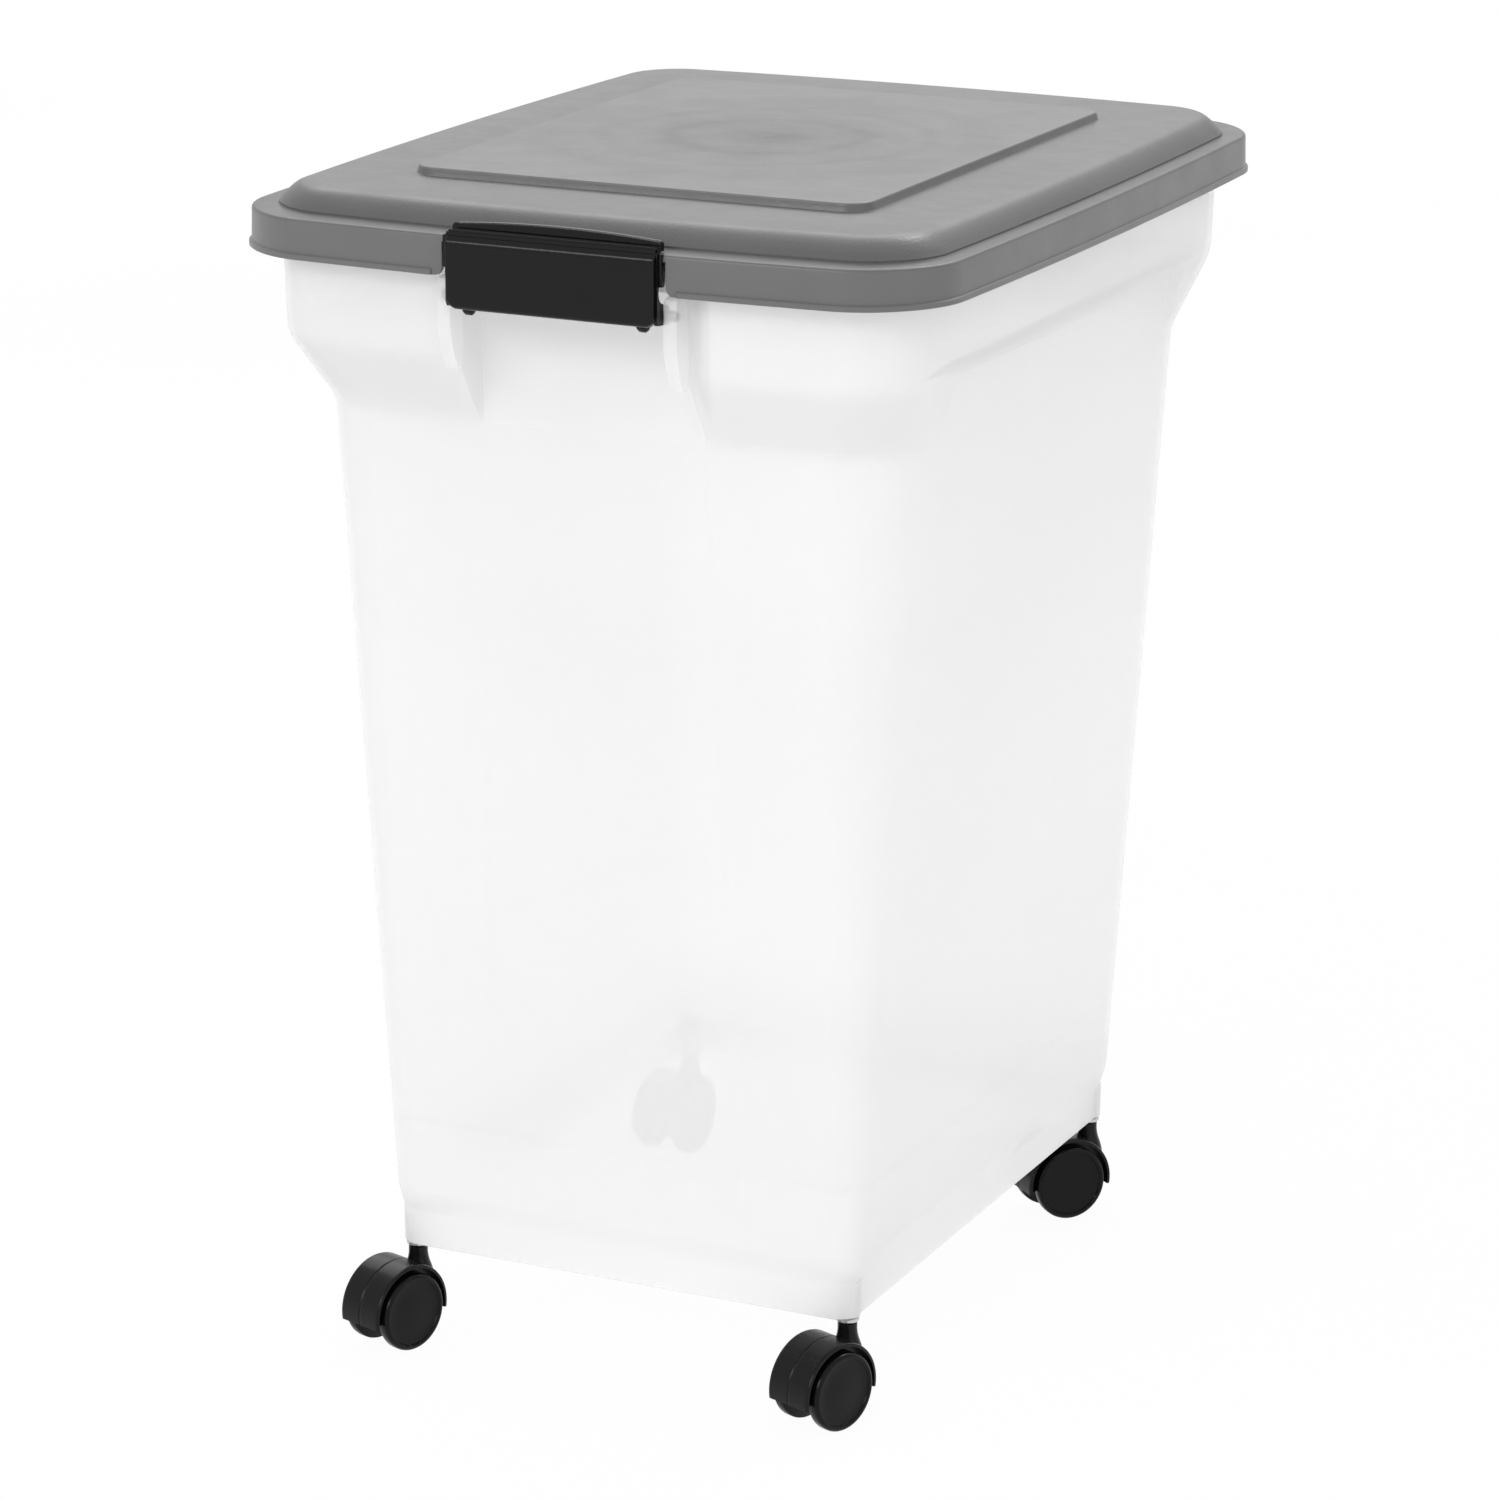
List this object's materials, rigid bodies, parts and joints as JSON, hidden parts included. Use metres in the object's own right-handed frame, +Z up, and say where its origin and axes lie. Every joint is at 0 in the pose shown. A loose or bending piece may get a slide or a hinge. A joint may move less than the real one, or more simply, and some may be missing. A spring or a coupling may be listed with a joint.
{
  "type": "pet food storage bin",
  "caption": "Tall tapered translucent storage bin on twin-wheel casters, with a grey lift-off lid held by black snap latches.",
  "frame": {"origin": "on the floor under the centre of the bin", "axes": "+Z up, -Y towards the front latch, +X towards the bin's right side seen from the front; the wide faces look along X"},
  "size_m": [0.3876, 0.49, 0.6185],
  "materials": {
    "clear_plastic": "milky translucent polypropylene",
    "grey_plastic": "satin, finely grained",
    "seal_rubber": "soft foam rubber",
    "black_plastic": "semi-gloss moulded",
    "wheel_plastic": "hard nylon, satin",
    "steel": "zinc-plated"
  },
  "bodies": {
    "tub": {"tub": "clear_plastic"},
    "lid": {"lid": "grey_plastic", "lid_gasket": "seal_rubber"},
    "front_latch": {"front_latch": "black_plastic", "front_latch_lip": "black_plastic"},
    "rear_latch": {"rear_latch": "black_plastic", "rear_latch_lip": "black_plastic"},
    "caster_front_left": {"caster_front_left_hood": "black_plastic", "caster_front_left_stem": "steel", "caster_front_left_axle": "steel"},
    "caster_front_left_wheel_left": {"caster_front_left_wheel_left": "wheel_plastic"},
    "caster_front_left_wheel_right": {"caster_front_left_wheel_right": "wheel_plastic"},
    "caster_front_right": {"caster_front_right_hood": "black_plastic", "caster_front_right_stem": "steel", "caster_front_right_axle": "steel"},
    "caster_front_right_wheel_left": {"caster_front_right_wheel_left": "wheel_plastic"},
    "caster_front_right_wheel_right": {"caster_front_right_wheel_right": "wheel_plastic"},
    "caster_back_right": {"caster_back_right_hood": "black_plastic", "caster_back_right_stem": "steel", "caster_back_right_axle": "steel"},
    "caster_back_right_wheel_left": {"caster_back_right_wheel_left": "wheel_plastic"},
    "caster_back_right_wheel_right": {"caster_back_right_wheel_right": "wheel_plastic"},
    "caster_back_left": {"caster_back_left_hood": "black_plastic", "caster_back_left_stem": "steel", "caster_back_left_axle": "steel"},
    "caster_back_left_wheel_left": {"caster_back_left_wheel_left": "wheel_plastic"},
    "caster_back_left_wheel_right": {"caster_back_left_wheel_right": "wheel_plastic"}
  },
  "joints": [
    {"name": "lid_lift", "type": "slide", "parent": "tub", "child": "lid", "axis": [0, 0, 1], "range_m": [0, 0.15], "deforming": ["front_latch_lip", "rear_latch_lip"]},
    {"name": "front_latch_hinge", "type": "hinge", "parent": "tub", "child": "front_latch", "pos_m": [0, -0.233, 0.573], "axis": [1, 0, 0], "range_deg": [0, 110]},
    {"name": "rear_latch_hinge", "type": "hinge", "parent": "tub", "child": "rear_latch", "pos_m": [0, 0.233, 0.573], "axis": [-1, 0, 0], "range_deg": [0, 110]},
    {"name": "caster_front_left_swivel", "type": "hinge", "parent": "tub", "child": "caster_front_left", "pos_m": [-0.1232, -0.163, 0.0516], "axis": [0, 0, 1], "continuous": true},
    {"name": "caster_front_left_wheel_left_spin", "type": "hinge", "parent": "caster_front_left", "child": "caster_front_left_wheel_left", "pos_m": [-0.12864, -0.17974, 0.0206], "axis": [0.9511, -0.309, 0], "continuous": true},
    {"name": "caster_front_left_wheel_right_spin", "type": "hinge", "parent": "caster_front_left", "child": "caster_front_left_wheel_right", "pos_m": [-0.12864, -0.17974, 0.0206], "axis": [0.9511, -0.309, 0], "continuous": true},
    {"name": "caster_front_right_swivel", "type": "hinge", "parent": "tub", "child": "caster_front_right", "pos_m": [0.1232, -0.163, 0.0516], "axis": [0, 0, 1], "continuous": true},
    {"name": "caster_front_right_wheel_left_spin", "type": "hinge", "parent": "caster_front_right", "child": "caster_front_right_wheel_left", "pos_m": [0.11718, -0.17954, 0.0206], "axis": [0.9397, -0.342, 0], "continuous": true},
    {"name": "caster_front_right_wheel_right_spin", "type": "hinge", "parent": "caster_front_right", "child": "caster_front_right_wheel_right", "pos_m": [0.11718, -0.17954, 0.0206], "axis": [0.9397, -0.342, 0], "continuous": true},
    {"name": "caster_back_right_swivel", "type": "hinge", "parent": "tub", "child": "caster_back_right", "pos_m": [0.1232, 0.163, 0.0516], "axis": [0, 0, 1], "continuous": true},
    {"name": "caster_back_right_wheel_left_spin", "type": "hinge", "parent": "caster_back_right", "child": "caster_back_right_wheel_left", "pos_m": [0.11189, 0.14952, 0.0206], "axis": [0.766, -0.6428, 0], "continuous": true},
    {"name": "caster_back_right_wheel_right_spin", "type": "hinge", "parent": "caster_back_right", "child": "caster_back_right_wheel_right", "pos_m": [0.11189, 0.14952, 0.0206], "axis": [0.766, -0.6428, 0], "continuous": true},
    {"name": "caster_back_left_swivel", "type": "hinge", "parent": "tub", "child": "caster_back_left", "pos_m": [-0.1232, 0.163, 0.0516], "axis": [0, 0, 1], "continuous": true},
    {"name": "caster_back_left_wheel_left_spin", "type": "hinge", "parent": "caster_back_left", "child": "caster_back_left_wheel_left", "pos_m": [-0.12473, 0.14547, 0.0206], "axis": [0.9962, -0.0872, 0], "continuous": true},
    {"name": "caster_back_left_wheel_right_spin", "type": "hinge", "parent": "caster_back_left", "child": "caster_back_left_wheel_right", "pos_m": [-0.12473, 0.14547, 0.0206], "axis": [0.9962, -0.0872, 0], "continuous": true}
  ]
}
